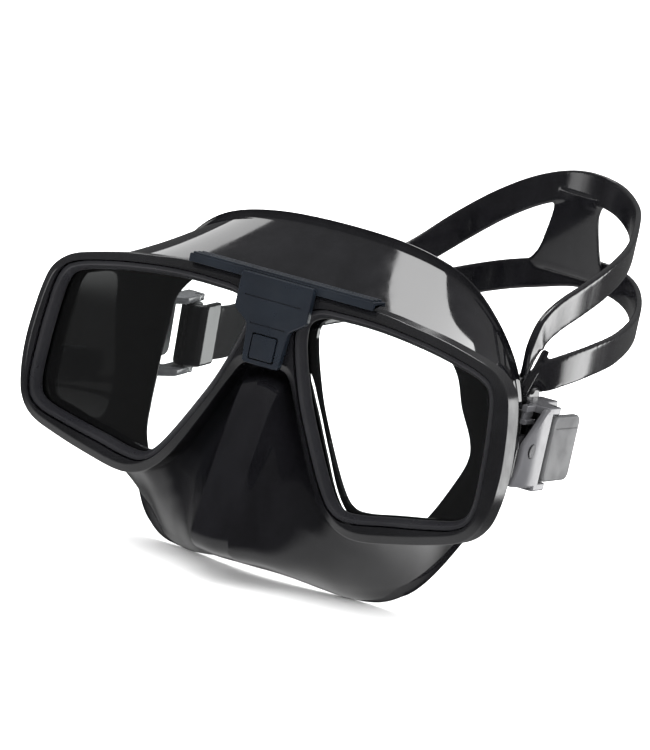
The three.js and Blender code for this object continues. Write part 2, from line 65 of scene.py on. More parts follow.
def make_camera():
    azimuth, elevation = CAMERA_AZIMUTH, CAMERA_ELEVATION
    flat = math.cos(elevation)
    back = Vector((math.sin(azimuth) * flat, -math.cos(azimuth) * flat, math.sin(elevation)))
    level = Vector((math.cos(azimuth), math.sin(azimuth), 0))
    upright = back.cross(level)
    right = level * math.cos(CAMERA_ROLL) + upright * math.sin(CAMERA_ROLL)
    up = back.cross(right)
    data = bpy.data.cameras.new("camera")
    data.lens = CAMERA_LENS
    data.clip_end = 100
    camera = bpy.data.objects.new("camera", data)
    turn = Matrix((right, up, back)).transposed().to_4x4()
    camera.matrix_world = Matrix.Translation(CAMERA_AIM + back * CAMERA_DISTANCE) @ turn
    bpy.context.scene.collection.objects.link(camera)
    bpy.context.scene.camera = camera


make_camera()

# Driving dimensions, in millimetres
MM = 0.001
FACE_Y = 44.0
GAP = 0.3
FRAME_BACK = 8.3
FRAME_LIP = 1.5
FRAME_CHAMFER = 2.6
POCKET = 3.0
BEZEL_FRONT = -0.7
BEZEL_BACK = 3.2
LENS_THICK = 4.0
LENS_EDGE = 2.0
SKIRT_WALL = 2.0
SKIRT_FRONT = FRAME_BACK + GAP
CLIP_HALF = 31.8
CLIP_FACE = -4.6
STRAP_THICK = 2.2
BAND_WIDTH = 10.5
BUCKLE_HALF = 13.2
BUCKLE_Z = 0.2
RAIL = 2.4
SWIVEL_Y = 44.0
ARM_IN, ARM_OUT = 68.7, 70.9
ARM_HALF = 4.5
COVER_IN, COVER_OUT = 71.3, 73.4
PIN_R = 2.2
ROLLER_X, ROLLER_Y = 61.2, 70.0
ROLLER_R = 2.2
AXLE_R = 1.1
LEVER_X, LEVER_Y = 71.2, 58.4
LEVER_PIN_R = 1.0
HUB_R = 1.9
TAB_IN, TAB_OUT = 71.4, 73.8
TAB_FRONT, TAB_BACK = 56.0, 76.4
FAR_TILT = math.radians(6)

# Half outlines, right of the centre plane, as (x, z) from the top middle round to the bottom middle
FRAME_HALF = [
    (0, 35.3), (31.5, 34.4), (44, 33.0), (55, 31.4), (66, 28.9), (73.5, 26.3), (78.6, 21.6), (80.8, 15),
    (82.2, 5), (82.7, -4), (82, -13), (79.8, -20.6), (74.5, -26), (64, -29.6), (52, -32.6),
    (43, -34.3), (36.8, -33.9), (31, -31), (24.6, -24), (17.4, -10.7), (11.4, 1.8), (7.2, 8.4), (0, 9.6),
]
LENS_OUTLINE = [
    (10.4, 21.6), (13.8, 27.4), (24, 28.4), (35, 28.2), (46, 27.1), (57, 25.3), (68.6, 22.4), (72.8, 18.6),
    (74.5, 8), (75.3, -4), (75.2, -14.6), (72.2, -19.6), (62, -22.4), (50, -24.7), (39.4, -26.8),
    (34, -26.2), (29.4, -21.4), (22.5, -9.5), (15.6, 4.6),
]
# The skirt's half rings from the frame back to the face opening, as (x, y, z)
SKIRT_START = [
    (0, 33.4), (28, 32.4), (52, 29.6), (70.5, 25), (77.6, 17.5), (80.2, 4), (79.8, -9), (76.6, -19.6),
    (68, -26), (55, -29.4), (43, -31.8), (35.4, -31), (28.4, -24.6), (21.6, -12), (15.2, 0.6), (9.4, 10),
    (0, 13.6),
]
SKIRT_RIM = [
    (0, 38, 52.6), (24, 38, 51.2), (42, 38, 46), (54, 41, 35), (61, 47, 21), (64, 51, 6), (64, 51, -8),
    (61, 48, -21), (56.5, 43, -34), (51, 40, -45), (45, 38, -52), (38, 36.4, -56.6), (29, 35, -58),
    (21, 33, -57.2), (14, 31, -55.6), (7, 29.4, -54.4), (0, 28.5, -54),
]
SKIRT_EDGE = [
    (0, 29, 36), (20, 28.6, 34.6), (38, 28, 30), (48.5, 30, 20), (51.6, 34, 9), (54.6, 39, -1), (55, 40, -8),
    (53, 36, -17), (50, 31.5, -26), (45, 29, -34), (39, 27.6, -40), (33, 26.6, -43.6), (26, 26, -45.6),
    (19.5, 25.4, -46), (13, 25, -45.6), (6.5, 24.6, -45), (0, 24.4, -44.8),
]
# Where columns 11 to 16 run round the nose pocket, front to back, before they reach the rim
NOSE_COLUMNS = {
    11: [(34.6, 9.4, -33.6), (34.4, 12, -37.6), (34.8, 16, -42.6), (35.6, 22, -48), (36.6, 29, -53)],
    12: [(26.4, 9.0, -27.6), (25.8, 9.2, -33), (26, 11, -40), (26.8, 16, -47.4), (28, 25, -54)],
    13: [(18.0, 8.8, -13.6), (16.6, 5.4, -22), (16.6, 4, -34.6), (17.6, 8, -46.4), (19, 20, -53.6)],
    14: [(11.2, 8.6, -1.6), (9.6, 1.4, -9), (9.8, -4.6, -30), (11, -3.6, -45.6), (12.6, 12, -52.6)],
    15: [(6.6, 8.2, 5.4), (6.1, -1.6, 0.5), (6.1, -11.6, -33), (6.6, -11, -46.6), (6.8, 8, -52.4)],
    16: [(0, 8.0, 7.4), (0, -1.8, 2), (0, -12, -33), (0, -11.6, -47), (0, 7, -52.2)],
}
RIDGE_COLUMN = 15
# Middle lines of the strap's two bands, from the buckle on the +X side round the back, as (x, y, z)
UPPER_BAND = [
    (57.6, 61, 3), (57.3, 59.8, 15.4), (60, 56.2, 21), (64.2, 48.8, 26.2), (65.8, 46.4, 31), (65.4, 50.8, 36),
    (64.6, 63, 40.5), (63.4, 82, 45), (61.2, 104, 50),
    (56, 130, 55.5), (46, 158, 60.5), (33, 187, 64), (17, 208, 67.5), (0, 218, 68), (-15, 221.5, 63.5),
    (-29, 222, 55), (-41, 219.5, 44.5), (-50, 212, 34), (-56.5, 199, 25.5), (-60, 183, 20), (-61.5, 165, 17),
]
LOWER_BAND = [
    (57.6, 66, 2), (57.4, 66, 14), (60.6, 68, 19.2), (62.6, 76, 21.4), (62.6, 100, 24.5), (58.6, 132, 27.5),
    (48, 171, 31.5),
    (32, 205, 36), (15, 225, 38), (0, 230.5, 37.5), (-14, 232, 34), (-27, 231, 30), (-39, 226, 25),
    (-48.5, 217, 20), (-55.5, 203, 15), (-60, 185, 11), (-61.5, 165, 9),
]
FAR_STRAP = [
    (-57.8, 70, 2.9), (-58, 80, 3.6), (-60.4, 98, 4), (-62.8, 122, 8), (-62.6, 148, 11.6), (-61, 178, 15),
]
STRAP_ROOT = [(57.6, 68, -10.5), (57.6, 68, 6), (57.4, 68, 14.6), (58.7, 66.4, 19), (60.6, 63.6, 21.6)]
# The web between the bands at the back: its top and bottom edge as (x, y of one end, x, y of the other, z)
WEB_TOP = (-8, 220, 8, 213.6, 65)
WEB_BOTTOM = (-17, 232, 11, 226.6, 36)


# Points and rings

def spline(points, per_span, closed=True, corners=()):
    """A Catmull-Rom curve through points. It may turn sharply at the points numbered in corners."""
    points = [Vector(p) for p in points]
    count = len(points)
    out = []
    for i in range(count if closed else count - 1):
        a, b = points[i], points[(i + 1) % count]
        before = points[i - 1] if (closed or i > 0) and i not in corners else a * 2 - b
        after = points[(i + 2) % count]
        if (i + 1) % count in corners or (not closed and i + 2 >= count):
            after = b * 2 - a
        for k in range(per_span):
            t = k / per_span
            out.append(0.5 * (2 * a + (b - before) * t + (2 * before - 5 * a + 4 * b - after) * t * t
                              + (3 * a - before - 3 * b + after) * t ** 3))
    if not closed:
        out.append(points[-1].copy())
    return out


def both_halves(half):
    """A half outline from top middle to bottom middle, and its mirror image back up."""
    return list(half) + [(-p[0], *p[1:]) for p in reversed(half[1:-1])]


def frame_ring(per_span=8):
    return spline([(x, 0, z) for x, z in both_halves(FRAME_HALF)], per_span)


def lens_ring(per_span=8):
    return spline([(x, 0, z) for x, z in LENS_OUTLINE], per_span)


def offset(ring, distance, y):
    """The ring moved outwards in its own plane, at depth y."""
    count = len(ring)
    area = sum(p.x * ring[(i + 1) % count].z - ring[(i + 1) % count].x * p.z for i, p in enumerate(ring))
    turn = distance * math.copysign(1, area)
    out = []
    for i, p in enumerate(ring):
        along = (ring[(i + 1) % count] - ring[i - 1]).normalized()
        out.append(Vector((p.x + along.z * turn, y, p.z - along.x * turn)))
    return out


def rounded(profile, radius, steps=4, closed=False):
    """A polyline of 2-D points with each corner turned into an arc that cuts radius off both its sides."""
    points = [Vector(p) for p in profile]
    out = []
    for i, p in enumerate(points):
        if not closed and i in (0, len(points) - 1):
            out.append(p)
            continue
        before, after = points[i - 1], points[(i + 1) % len(points)]
        a = p + (before - p).normalized() * min(radius, (before - p).length * 0.45)
        b = p + (after - p).normalized() * min(radius, (after - p).length * 0.45)
        for k in range(steps + 1):
            t = k / steps
            out.append(a * (1 - t) ** 2 + p * 2 * t * (1 - t) + b * t * t)
    return out


# Meshes

def placed(points):
    return [Vector((p[0], p[1] - FACE_Y, p[2])) * MM for p in points]


def mesh_object(name, points, faces):
    mesh = bpy.data.meshes.new(name)
    mesh.from_pydata(placed(points), [], faces)
    mesh.update()
    obj = bpy.data.objects.new(name, mesh)
    bpy.context.scene.collection.objects.link(obj)
    tidy(obj)
    return obj


def tidy(obj):
    """Merges doubled points and turns every face outwards."""
    work = bmesh.new()
    work.from_mesh(obj.data)
    bmesh.ops.remove_doubles(work, verts=work.verts, dist=1e-7)
    bmesh.ops.recalc_face_normals(work, faces=work.faces)
    work.to_mesh(obj.data)
    work.free()


def loft(name, rings, ends=True):
    """A solid through rings of equal length, with flat ends, or joined last to first."""
    size = len(rings[0])
    points = [p for ring in rings for p in ring]
    faces = []
    for i in range(len(rings) - (1 if ends else 0)):
        a, b = i * size, (i + 1) % len(rings) * size
        for j in range(size):
            k = (j + 1) % size
            faces.append((a + j, a + k, b + k, b + j))
    if ends:
        faces.append(tuple(range(size)))
        faces.append(tuple(len(points) - size + j for j in range(size)))
    return mesh_object(name, points, faces)


def prism(name, outline, low, high, axis="z", soft=0.0, steps=3):
    """A 2-D outline pushed along an axis, with its two rims softened by an inset of soft."""
    outline = [Vector(p) for p in outline]
    count = len(outline)
    following = [outline[(i + 1) % count] for i in range(count)]
    area = sum(p.x * q.y - q.x * p.y for p, q in zip(outline, following))
    place = {
        "x": lambda p, w: (w, p.x, p.y),
        "y": lambda p, w: (p.x, w, p.y),
        "z": lambda p, w: (p.x, p.y, w),
    }[axis]
    levels = [(0.0, low), (0.0, high)]
    if soft:
        arc = [(soft * (1 - math.sin(a)), soft * (1 - math.cos(a)))
               for a in (math.pi / 2 * k / steps for k in range(steps + 1))]
        levels = [(inset, low + rise) for inset, rise in arc]
        levels += [(inset, high - rise) for inset, rise in reversed(arc)]
    rings = []
    for inset, w in levels:
        ring = []
        for i, p in enumerate(outline):
            one = (p - outline[i - 1]).normalized()
            two = (outline[(i + 1) % count] - p).normalized()
            normal = Vector((one.y + two.y, -one.x - two.x))
            scale = 2 / max(normal.length_squared, 0.6)
            ring.append(place(p - normal * (math.copysign(inset, area) * scale), w))
        rings.append(ring)
    return loft(name, rings)


def rod(name, radius, low, high, axis, at, soft=0.2, sides=48):
    """A round bar along an axis; at holds the other two coordinates."""
    angles = [2 * math.pi * k / sides for k in range(sides)]
    ring = [(at[0] + radius * math.cos(a), at[1] + radius * math.sin(a)) for a in angles]
    return prism(name, ring, low, high, axis, soft)


def rounded_box(x, y, z, corner, soft, axis="x"):
    """A block with rounded corners about an axis and softened rims. x, y and z are (low, high)."""
    across = {"x": (y, z), "y": (x, z), "z": (x, y)}[axis]
    along = {"x": x, "y": y, "z": z}[axis]
    (a0, a1), (b0, b1) = across
    outline = rounded([(a0, b0), (a1, b0), (a1, b1), (a0, b1)], corner, 5, closed=True)
    return prism("block", outline, *along, axis, soft)


def bake(obj):
    """Puts the result of the object's modifiers into its mesh."""
    graph = bpy.context.evaluated_depsgraph_get()
    mesh = bpy.data.meshes.new_from_object(obj.evaluated_get(graph))
    obj.modifiers.clear()
    obj.data = mesh
    return obj


def combine(obj, tool, operation):
    """Adds or cuts away another solid, which is used up."""
    step = obj.modifiers.new("combine", "BOOLEAN")
    step.operation = operation
    step.solver = "MANIFOLD"
    step.object = tool
    bake(obj)
    bpy.data.objects.remove(tool)
    return obj


def shade(obj, angle=35, weighted=True):
    """Smooth shading that breaks at edges sharper than angle."""
    work = bmesh.new()
    work.from_mesh(obj.data)
    for face in work.faces:
        face.smooth = True
    for edge in work.edges:
        edge.smooth = len(edge.link_faces) == 2 and edge.calc_face_angle(0) < math.radians(angle)
    work.to_mesh(obj.data)
    work.free()
    if weighted:
        step = obj.modifiers.new("even_shading", "WEIGHTED_NORMAL")
        step.keep_sharp = True
        step.weight = 80
        bake(obj)
    return obj


def mirror(obj):
    """A copy on the other side of the centre plane."""
    mesh = obj.data.copy()
    mesh.transform(Matrix.Scale(-1, 4, Vector((1, 0, 0))))
    mesh.flip_normals()
    copy = bpy.data.objects.new(obj.name, mesh)
    bpy.context.scene.collection.objects.link(copy)
    return copy


def install(obj, node, material, body):
    """Names a piece after the CAD node it stands for, and says what it rides on and what it is made of."""
    obj.name = node + "_fine"
    obj.data.name = obj.name
    obj.data.materials.clear()
    obj.data.materials.append(material)
    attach(obj, body)
    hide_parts(node)
    return obj


def tip_up(obj):
    """Turns a piece of the -X buckle about its swivel, to the angle it hangs at."""
    pivot = placed([(0, SWIVEL_Y, 0)])[0]
    turn = Matrix.Rotation(FAR_TILT, 4, "X")
    obj.data.transform(Matrix.Translation(pivot) @ turn @ Matrix.Translation(-pivot))


def install_pair(obj, node, material, body):
    """The piece on the +X side, and its mirror image. A body that ends in _ has one for each side."""
    other = mirror(obj)
    if body.endswith("_"):
        tip_up(other)
    for side, one in (("left", obj), ("right", other)):
        install(one, node + side, material, body + side if body.endswith("_") else body)


# Materials

class Nodes:
    """A material's node tree, with the few steps that the finishes share."""

    def __init__(self, name):
        self.material = bpy.data.materials.new(name)
        self.material.use_nodes = True
        self.tree = self.material.node_tree
        self.shader = self.tree.nodes["Principled BSDF"]
        self.place = self.add("ShaderNodeTexCoord").outputs["Object"]

    def add(self, kind, **values):
        node = self.tree.nodes.new(kind)
        for key, value in values.items():
            setattr(node, key, value)
        return node

    def link(self, source, target):
        self.tree.links.new(source, target)

    def noise(self, scale, detail=3.0, roughness=0.55, stretch=None):
        node = self.add("ShaderNodeTexNoise")
        node.inputs["Scale"].default_value = scale
        node.inputs["Detail"].default_value = detail
        node.inputs["Roughness"].default_value = roughness
        place = self.place
        if stretch:
            turn = self.add("ShaderNodeMapping")
            turn.inputs["Scale"].default_value = stretch
            self.link(place, turn.inputs["Vector"])
            place = turn.outputs["Vector"]
        self.link(place, node.inputs["Vector"])
        return node.outputs["Fac"]

    def range(self, source, low, high, start=0.3, end=0.7):
        node = self.add("ShaderNodeMapRange")
        node.inputs["From Min"].default_value = start
        node.inputs["From Max"].default_value = end
        node.inputs["To Min"].default_value = low
        node.inputs["To Max"].default_value = high
        self.link(source, node.inputs["Value"])
        return node.outputs["Result"]

    def blend(self, source, one, two):
        node = self.add("ShaderNodeMix", data_type="RGBA")
        node.inputs["A"].default_value = (*one, 1)
        node.inputs["B"].default_value = (*two, 1)
        self.link(source, node.inputs["Factor"])
        return node.outputs["Result"]

    def bump(self, height, strength, distance, under=None):
        node = self.add("ShaderNodeBump")
        node.inputs["Strength"].default_value = strength
        node.inputs["Distance"].default_value = distance
        self.link(height, node.inputs["Height"])
        if under:
            self.link(under, node.inputs["Normal"])
        return node.outputs["Normal"]


def moulded(name, dark, light, roughness, grain, coat=0.0):
    """Moulded plastic: slight flow clouds in the colour, a fine grain and uneven gloss."""
    nodes = Nodes(name)
    clouds = nodes.noise(55, 4)
    fine = nodes.noise(3800, 2, 0.6)
    handling = nodes.noise(140, 5, 0.65)
    nodes.link(nodes.blend(nodes.range(clouds, 0, 1), dark, light), nodes.shader.inputs["Base Color"])
    nodes.link(nodes.range(handling, roughness - 0.05, roughness + 0.06), nodes.shader.inputs["Roughness"])
    nodes.link(nodes.bump(fine, grain, 0.00002), nodes.shader.inputs["Normal"])
    nodes.shader.inputs["IOR"].default_value = 1.5
    nodes.shader.inputs["Coat Weight"].default_value = coat
    nodes.shader.inputs["Coat Roughness"].default_value = 0.08
    return nodes.material


def silicone(name, roughness, ripple):
    """Black silicone: glossy, very slightly wavy, with faint wipe marks and dust in its gloss."""
    nodes = Nodes(name)
    waves = nodes.noise(38, 2, 0.4)
    wipes = nodes.noise(90, 6, 0.7, (1, 1, 0.35))
    dust = nodes.noise(2600, 2, 0.5)
    nodes.link(nodes.blend(nodes.range(wipes, 0, 1), (0.002, 0.002, 0.0025), (0.005, 0.005, 0.006)),
               nodes.shader.inputs["Base Color"])
    nodes.link(nodes.range(wipes, roughness - 0.03, roughness + 0.05), nodes.shader.inputs["Roughness"])
    broad = nodes.bump(waves, ripple, 0.0004)
    nodes.link(nodes.bump(dust, 0.06, 0.00001, broad), nodes.shader.inputs["Normal"])
    nodes.shader.inputs["IOR"].default_value = 1.46
    return nodes.material


def steel(name, dark, light):
    """Stainless steel, turned: fine rings of polish and a little tarnish."""
    nodes = Nodes(name)
    rings = nodes.noise(900, 3, 0.6, (4, 4, 0.2))
    tone = nodes.blend(nodes.range(nodes.noise(300), 0, 1), dark, light)
    nodes.link(tone, nodes.shader.inputs["Base Color"])
    nodes.link(nodes.range(rings, 0.2, 0.38), nodes.shader.inputs["Roughness"])
    nodes.link(nodes.bump(rings, 0.2, 0.00001), nodes.shader.inputs["Normal"])
    nodes.shader.inputs["Metallic"].default_value = 1.0
    return nodes.material


def glass(name):
    """Clear tempered glass: it lets light straight through and keeps its surface reflections."""
    nodes = Nodes(name)
    smears = nodes.noise(60, 5, 0.7)
    through = nodes.add("ShaderNodeBsdfTransparent")
    facing = nodes.add("ShaderNodeFresnel")
    facing.inputs["IOR"].default_value = 1.5
    gloss = nodes.add("ShaderNodeBsdfGlossy")
    nodes.link(nodes.range(smears, 0.02, 0.06), gloss.inputs["Roughness"])
    mix = nodes.add("ShaderNodeMixShader")
    nodes.link(facing.outputs["Fac"], mix.inputs["Fac"])
    nodes.link(through.outputs["BSDF"], mix.inputs[1])
    nodes.link(gloss.outputs["BSDF"], mix.inputs[2])
    through.inputs["Color"].default_value = (0.97, 0.985, 0.98, 1)
    nodes.link(mix.outputs["Shader"], nodes.tree.nodes["Material Output"].inputs["Surface"])
    return nodes.material


FRAME_PLASTIC = moulded("frame_plastic", (0.003, 0.003, 0.0035), (0.005, 0.005, 0.006), 0.2, 0.05)
BEZEL_PLASTIC = moulded("bezel_plastic", (0.008, 0.008, 0.010), (0.013, 0.013, 0.015), 0.3, 0.12)
CLIP_PLASTIC = moulded("clip_plastic", (0.004, 0.006, 0.010), (0.007, 0.010, 0.015), 0.3, 0.15)
BUCKLE_PLASTIC = moulded("buckle_plastic", (0.06, 0.06, 0.065), (0.09, 0.09, 0.095), 0.16, 0.05)
LEVER_PLASTIC = moulded("lever_plastic", (0.06, 0.061, 0.063), (0.085, 0.086, 0.088), 0.34, 0.2)
SKIRT_SILICONE = silicone("skirt_silicone", 0.05, 0.05)
STRAP_SILICONE = silicone("strap_silicone", 0.12, 0.05)
STEEL = steel("steel", (0.52, 0.53, 0.55), (0.66, 0.66, 0.67))
DARK_STEEL = steel("dark_steel", (0.05, 0.05, 0.055), (0.08, 0.08, 0.085))
GLASS = glass("lens_glass")


# Frame, lenses and bezels

def make_frame():
    outer = frame_ring()
    profile = rounded([(-1.4, FRAME_BACK), (0, FRAME_BACK), (0, 0), (-FRAME_CHAMFER, -FRAME_LIP),
                       (-FRAME_CHAMFER - 1.2, -FRAME_LIP)], 0.5)
    body = loft("frame", [offset(outer, d, y) for d, y in profile])
    opening = loft("opening", [offset(lens_ring(), POCKET, y) for y in (-FRAME_LIP - 4, FRAME_BACK + 4)])
    other = mirror(opening)
    combine(body, opening, "DIFFERENCE")
    combine(body, other, "DIFFERENCE")
    install(shade(body), "main_frame", FRAME_PLASTIC, "mask")


def paint_edge_shade(lens):
    """Painted shade: the glass's edge faces take the black silicone finish, so its edge lets no light
    through.
    """
    lens.data.materials.append(SKIRT_SILICONE)
    for face in lens.data.polygons:
        face.material_index = 1 if abs(face.normal.y) < 0.9 else 0


def make_lenses():
    ring = lens_ring()
    front = BEZEL_BACK + GAP
    back = front + LENS_THICK
    arris = 0.35
    levels = [(LENS_EDGE - arris, front), (LENS_EDGE, front + arris), (LENS_EDGE, back - arris),
              (LENS_EDGE - arris, back)]
    lens = loft("lens", [offset(ring, d, y) for d, y in levels])
    install_pair(shade(lens, 25), "lens_", GLASS, "mask")
    # The lens edges get painted shade: black silicone on their side faces.
    for side in ("left", "right"):
        paint_edge_shade(bpy.data.objects[f"lens_{side}_fine"])
    outer = POCKET - GAP
    section = rounded([(outer, BEZEL_BACK), (outer, BEZEL_FRONT), (1.5, BEZEL_FRONT),
                       (1.1, BEZEL_FRONT + 0.5), (0.15, 1.7), (0, 2.4), (0, BEZEL_BACK)], 0.3, 3, closed=True)
    bezel = loft("bezel", [offset(ring, d, y) for d, y in section], ends=False)
    install_pair(shade(bezel, 40), "bezel_", BEZEL_PLASTIC, "mask")


# Skirt

def skirt_stations():
    """Rings of control points from the frame to the feathered edge."""
    columns = []
    for c, rim in enumerate(SKIRT_RIM):
        x, z = SKIRT_START[c]
        start = Vector((x, SKIRT_FRONT, z))
        if c in NOSE_COLUMNS:
            between = [Vector(p) for p in NOSE_COLUMNS[c]]
        else:
            between = [start.lerp(Vector(rim), t) for t in (0.08, 0.26, 0.5, 0.74, 0.9)]
        columns.append([start, *between, Vector(rim), Vector(SKIRT_EDGE[c])])
    stations = []
    for s in range(len(columns[0])):
        stations.append(both_halves([tuple(column[s]) for column in columns]))
    return stations


def make_skirt():
    across, along = 8, 8
    nose_edges = (RIDGE_COLUMN, len(SKIRT_RIM) * 2 - 2 - RIDGE_COLUMN)
    rings = [spline(points, across, corners=nose_edges if 1 < s < 6 else ())
             for s, points in enumerate(skirt_stations())]
    lines = [spline([ring[j] for ring in rings], along, closed=False) for j in range(len(rings[0]))]
    rows, size = len(lines[0]), len(lines)
    outer = [[lines[j][i] for j in range(size)] for i in range(rows)]
    inner = []
    for i, ring in enumerate(outer):
        taper = min(1.0, 0.35 + (rows - 1 - i) / 14)
        inside = []
        for j, p in enumerate(ring):
            down = outer[min(i + 1, rows - 1)][j] - outer[max(i - 1, 0)][j]
            round_ = ring[(j + 1) % size] - ring[j - 1]
            q = p - round_.cross(down).normalized() * (SKIRT_WALL * taper)
            if i == 0:
                q.y = SKIRT_FRONT
            inside.append(q)
        inner.append(inside)
    tip = []
    for j in range(size):
        beyond = outer[-1][j] - outer[-2][j]
        tip.append((outer[-1][j] + inner[-1][j]) / 2 + beyond.normalized() * 0.4)
    shell = loft("skirt", [*outer, tip, *reversed(inner)], ends=False)
    face_y = SKIRT_FRONT + SKIRT_WALL / 4
    face = loft("face", [offset(rings[0], -SKIRT_WALL / 2, y) for y in (face_y, face_y + SKIRT_WALL)])
    for sign in (1, -1):
        window = loft("window", [offset(lens_ring(), 0, y) for y in (SKIRT_FRONT - 3, SKIRT_FRONT + 8)])
        if sign < 0:
            turned = mirror(window)
            bpy.data.objects.remove(window)
            window = turned
        combine(face, window, "DIFFERENCE")
    combine(shell, face, "UNION")
    install(shade(shell, 50, weighted=False), "skirt", SKIRT_SILICONE, "mask")


# Bridge clip and latch

def make_bridge():
    back = -FRAME_LIP - GAP
    plate_outline = rounded([(-12.4, 36.4), (12.4, 36.4), (12.4, 25), (7.2, 21.4), (6.2, 9.4), (-6.2, 9.4),
                             (-7.2, 21.4), (-12.4, 25)], 1.2, 4, closed=True)
    clip = prism("plate", plate_outline, CLIP_FACE, back, "y", 0.5)
    for z, half in ((29.6, 9.6), (21.6, 6.0)):
        crease = prism("crease", [(-half, z - 0.2), (half, z - 0.2), (half, z + 0.2), (-half, z + 0.2)],
                       CLIP_FACE - 1, CLIP_FACE + 0.35, "y")
        combine(clip, crease, "DIFFERENCE")
    side = rounded([(-1.0, 34.4), (-1.0, 35.7), (6, 35.7), (6, 37), (-2.4, 37), (-2.4, 34.4)], 0.35, 3,
                   closed=True)
    combine(clip, prism("bar", side, -CLIP_HALF, CLIP_HALF, "x", 0.3), "UNION")
    for y in (-2.0, 0.8, 3.6):
        ridge = rounded([(y, 36.6), (y, 37.7), (y + 1.2, 37.7), (y + 1.2, 36.6)], 0.45, 4, closed=True)
        combine(clip, prism("ridge", ridge, -CLIP_HALF + 0.8, CLIP_HALF - 0.8, "x", 0.3), "UNION")
    window = rounded([(-4.4, 10.8), (4.4, 10.8), (4.4, 19), (-4.4, 19)], 0.6, 3, closed=True)
    combine(clip, prism("window", window, CLIP_FACE - 1, CLIP_FACE + 2.2, "y"), "DIFFERENCE")
    install(shade(clip, 30), "bridge_clip", CLIP_PLASTIC, "mask")
    tab = rounded_box((-4, 4), (CLIP_FACE - 0.4, CLIP_FACE + 0.9), (11.2, 18.6), 0.7, 0.3, "y")
    install(shade(tab, 30), "bridge_latch", CLIP_PLASTIC, "latch")


# Buckles, on the +X side and mirrored

def make_buckles():
    low, high = BUCKLE_Z - BUCKLE_HALF, BUCKLE_Z + BUCKLE_HALF
    arm_plan = rounded([(82.2, SKIRT_FRONT), (82.2, 10.6), (ARM_OUT, 37.6), (ARM_OUT, 49), (ARM_IN, 49),
                        (ARM_IN, 40.2), (80.9, 10.2), (80.9, SKIRT_FRONT)], 0.9, 4, closed=True)
    arm = prism("arm", arm_plan, -ARM_HALF, ARM_HALF, "z", 0.4)
    bore = rod("bore", PIN_R + 0.1, ARM_IN - 5, ARM_OUT + 5, "x", (SWIVEL_Y, 0), 0)
    arm = shade(combine(arm, bore, "DIFFERENCE"))
    install_pair(arm, "strap_bracket_", FRAME_PLASTIC, "mask")

    pin = rod("pin", PIN_R, ARM_IN - 0.1, COVER_OUT, "x", (SWIVEL_Y, 0))
    install_pair(shade(pin), "swivel_pin_", DARK_STEEL, "mask")
    install_pair(make_body(low, high), "buckle_body_", BUCKLE_PLASTIC, "buckle_")
    rods = (("roller_axle_", AXLE_R, (ROLLER_X, ROLLER_Y)), ("lever_pin_", LEVER_PIN_R, (LEVER_X, LEVER_Y)))
    for name, radius, at in rods:
        pin = rod(name, radius, low + GAP, high - GAP, "z", at)
        install_pair(shade(pin), name, STEEL, "buckle_")
    half = BUCKLE_HALF - RAIL - GAP
    roller = rod("roller", ROLLER_R, BUCKLE_Z - half, BUCKLE_Z + half, "z", (ROLLER_X, ROLLER_Y), 0.3, 64)
    bore = rod("bore", AXLE_R + 0.05, low, high, "z", (ROLLER_X, ROLLER_Y), 0)
    roller = shade(combine(roller, bore, "DIFFERENCE"))
    install_pair(roller, "strap_roller_", LEVER_PLASTIC, "roller_")
    install_pair(make_lever(half), "release_lever_", LEVER_PLASTIC, "lever_")
    install_pair(make_spring(), "lever_spring_", STEEL, "buckle_")


def make_body(low, high):
    """The buckle's body: a curved cover over the swivel, the rails that hold the roller, and guard bars."""
    side = rounded([(36, -11.3), (38.6, -4.6), (38.6, 1.8), (50, 13.1), (54.6, 13.1), (54.6, -12)], 1.6, 6,
                   closed=True)
    body = prism("cover", side, COVER_IN, COVER_OUT, "x", 0.8, 5)
    curve_in(body)
    plan = rounded([(COVER_OUT, 50.4), (COVER_OUT, 60.2), (69.4, 61.6), (66.6, 64), (66.6, 73.4),
                    (60.1, 73.4), (60.1, 61.4), (62.6, 57), (65.8, 53.5), (65.8, 50.4)], 1.0, 5, closed=True)
    combine(body, prism("rail", plan, low, low + RAIL, "z", 0.5), "UNION")
    combine(body, prism("rail", plan, high - RAIL, high, "z", 0.5), "UNION")
    guard = rounded_box((67, 67.8), (44.6, 51.6), (7.9, 12.3), 0.2, 0.15, "y")
    combine(guard, rounded_box((66.9, 68.8), (44.2, 52), (7.2, 8.8), 0.4, 0.3, "y"), "UNION")
    combine(guard, rounded_box((66.9, 68.8), (43.8, 58), (11.1, 13.3), 0.4, 0.3, "y"), "UNION")
    combine(body, guard, "UNION")
    for hole in (rod("hole", PIN_R + 0.12, 60, 90, "x", (SWIVEL_Y, 0), 0),
                 rod("hole", AXLE_R + 0.05, low - 5, high + 5, "z", (ROLLER_X, ROLLER_Y), 0),
                 rod("hole", LEVER_PIN_R + 0.05, low - 5, high + 5, "z", (LEVER_X, LEVER_Y), 0)):
        combine(body, hole, "DIFFERENCE")
    return shade(body)


def curve_in(obj):
    """Cuts a cover plate into strips, and bends it so that its front edge lies further in."""
    work = bmesh.new()
    work.from_mesh(obj.data)
    for k in range(1, 14):
        level = placed([(0, 36 + k, 0)])[0]
        every = work.verts[:] + work.edges[:] + work.faces[:]
        bmesh.ops.bisect_plane(work, geom=every, plane_co=level, plane_no=(0, 1, 0))
    bmesh.ops.triangulate(work, faces=work.faces)
    for vert in work.verts:
        ahead = max(0.0, 50 - FACE_Y - vert.co.y / MM)
        vert.co.x -= 0.006 * ahead ** 2 * MM
    work.to_mesh(obj.data)
    work.free()


